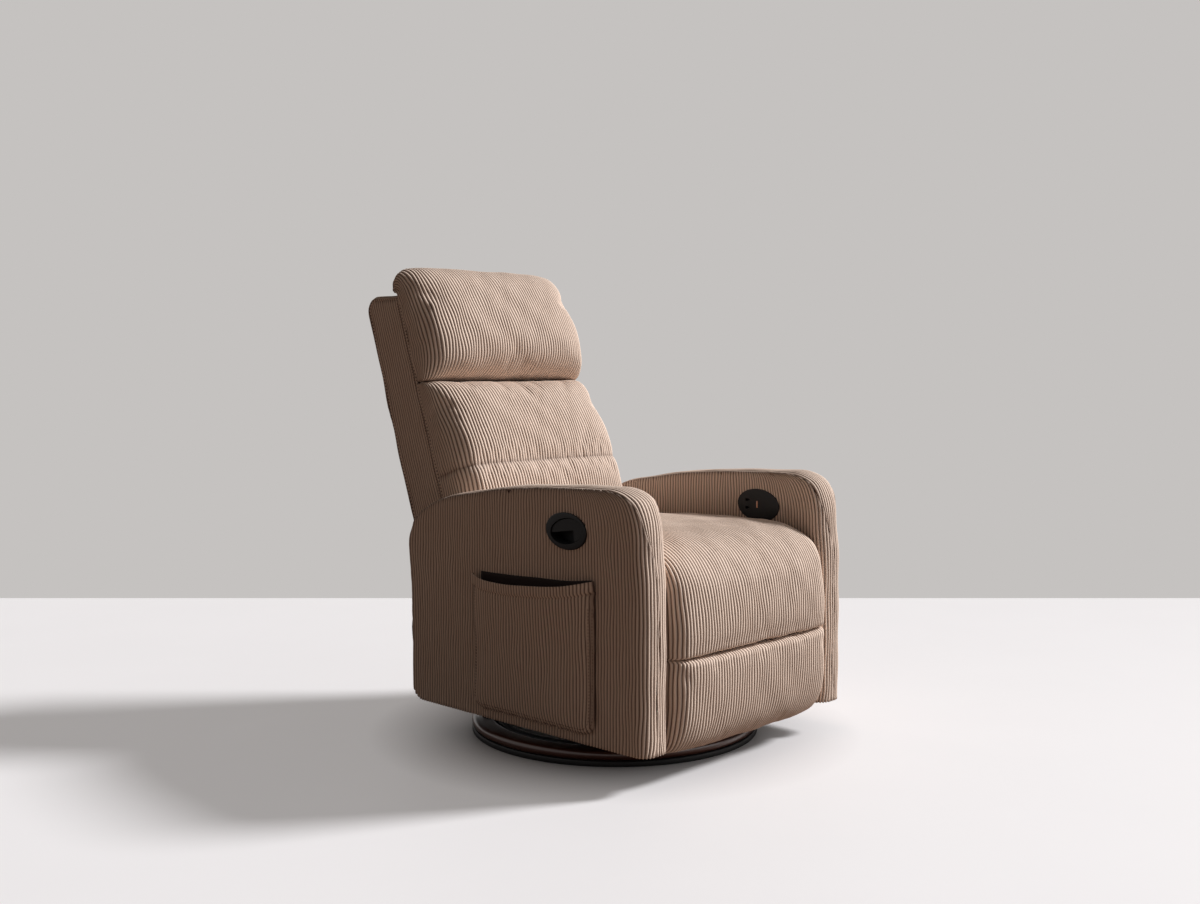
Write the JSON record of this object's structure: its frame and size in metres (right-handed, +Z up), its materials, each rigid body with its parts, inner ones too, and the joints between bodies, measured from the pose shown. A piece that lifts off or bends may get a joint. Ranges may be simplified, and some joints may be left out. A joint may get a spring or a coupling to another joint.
{
  "type": "swivel glider recliner",
  "caption": "Upholstered recliner with a flip-up footrest and tilting back, hung on four links that glide over a round swivel base.",
  "frame": {"origin": "on the floor under the middle of the whole chair's bounding box", "axes": "+Z up, -Y the way the sitter faces, +X towards the sitter's left arm"},
  "size_m": [0.6884, 0.9741, 1.044],
  "materials": {
    "corduroy": "wide-wale corduroy, matt with a soft sheen",
    "walnut": "dark stained, satin lacquer",
    "frame_timber": "bare sawn plywood and pine",
    "black_steel": "black powder coat",
    "zinc_steel": "zinc plated",
    "black_plastic": "moulded, fine grain",
    "elastic_webbing": "woven elastic",
    "light_lens": "frosted"
  },
  "bodies": {
    "base": {"floor_ring": "black_plastic", "base_ring": "walnut", "base_hoop": "black_steel", "base_cross": "black_steel", "bearing_lower": "zinc_steel"},
    "turntable": {"bearing_upper": "zinc_steel", "turntable_beam_front": "black_steel", "turntable_beam_rear": "black_steel", "hanger_left": "black_steel", "hanger_right": "black_steel"},
    "glide_link_rear_left": {"glide_link_rear_left": "black_steel"},
    "glide_link_rear_right": {"glide_link_rear_right": "black_steel"},
    "glide_link_front_left": {"glide_link_front_left": "black_steel"},
    "glide_link_front_right": {"glide_link_front_right": "black_steel"},
    "seat_frame": {"side_plate_left": "black_steel", "side_plate_right": "black_steel", "seat_rail_left": "frame_timber", "seat_rail_right": "frame_timber", "seat_rail_front": "frame_timber", "seat_rail_rear": "frame_timber", "seat_spring_1": "zinc_steel", "seat_spring_2": "zinc_steel", "seat_spring_3": "zinc_steel", "seat_spring_4": "zinc_steel", "seat_spring_5": "zinc_steel", "arm_cover_left": "corduroy", "arm_cover_right": "corduroy", "arm_frame_left": "frame_timber", "arm_frame_right": "frame_timber", "side_pocket": "corduroy", "latch_cup": "black_plastic", "release_cable": "black_plastic", "charging_panel": "black_plastic", "charging_light": "light_lens", "rear_skirt": "corduroy", "power_inlet": "black_plastic", "power_harness": "black_plastic", "seat_cushion": "corduroy"},
    "footrest": {"footrest_tube": "black_steel", "footrest_arm_left": "black_steel", "footrest_arm_right": "black_steel", "footrest_board": "frame_timber", "footrest_pad": "corduroy"},
    "back": {"back_side_left": "corduroy", "back_side_right": "corduroy", "back_outer_panel": "corduroy", "back_rail_lower": "frame_timber", "back_rail_upper": "frame_timber", "back_strap_1": "elastic_webbing", "back_strap_2": "elastic_webbing", "back_strap_3": "elastic_webbing", "recline_bracket_left": "black_steel", "recline_bracket_right": "black_steel", "head_cushion": "corduroy", "lumbar_cushion": "corduroy"},
    "latch_paddle": {"latch_paddle": "black_plastic"},
    "latch_pawl": {"latch_pawl": "black_steel"}
  },
  "joints": [
    {"name": "swivel", "type": "hinge", "parent": "base", "child": "turntable", "pos_m": [0.01315, -0.08636, 0.045], "axis": [0, 0, 1], "continuous": true},
    {"name": "glide", "type": "hinge", "parent": "turntable", "child": "glide_link_rear_left", "pos_m": [0.21655, 0.08364, 0.195], "axis": [1, 0, 0], "range_deg": [-18, 18]},
    {"name": "seat_hang", "type": "hinge", "parent": "glide_link_rear_left", "child": "seat_frame", "pos_m": [0.21655, 0.08364, 0.085], "axis": [1, 0, 0], "range_deg": [-18, 18]},
    {"name": "link_rear_right_swing", "type": "hinge", "parent": "turntable", "child": "glide_link_rear_right", "pos_m": [-0.19025, 0.08364, 0.195], "axis": [1, 0, 0], "range_deg": [-18, 18]},
    {"name": "link_front_left_swing", "type": "hinge", "parent": "turntable", "child": "glide_link_front_left", "pos_m": [0.21655, -0.25636, 0.195], "axis": [1, 0, 0], "range_deg": [-18, 18]},
    {"name": "link_front_right_swing", "type": "hinge", "parent": "turntable", "child": "glide_link_front_right", "pos_m": [-0.19025, -0.25636, 0.195], "axis": [1, 0, 0], "range_deg": [-18, 18]},
    {"name": "footrest_open", "type": "hinge", "parent": "seat_frame", "child": "footrest", "pos_m": [0.01315, -0.41836, 0.38], "axis": [-1, 0, 0], "range_deg": [0, 90]},
    {"name": "back_recline", "type": "hinge", "parent": "seat_frame", "child": "back", "pos_m": [0.01315, 0.17564, 0.372], "axis": [-1, 0, 0], "range_deg": [0, 36]},
    {"name": "latch_pull", "type": "hinge", "parent": "seat_frame", "child": "latch_paddle", "pos_m": [-0.31785, -0.26758, 0.50581], "axis": [0, 0.9903, -0.1392], "range_deg": [0, 22], "stiffness_Nm_per_rad": 0.6},
    {"name": "pawl_lift", "type": "hinge", "parent": "seat_frame", "child": "latch_pawl", "pos_m": [-0.19365, -0.39836, 0.326], "axis": [1, 0, 0], "range_deg": [0, 12]}
  ],
  "couplings": [
    {"joint": "seat_hang", "follows": "glide", "ratio": -1},
    {"joint": "link_rear_right_swing", "follows": "glide", "ratio": 1},
    {"joint": "link_front_left_swing", "follows": "glide", "ratio": 1},
    {"joint": "link_front_right_swing", "follows": "glide", "ratio": 1},
    {"joint": "pawl_lift", "follows": "latch_pull", "ratio": 0.54546}
  ]
}
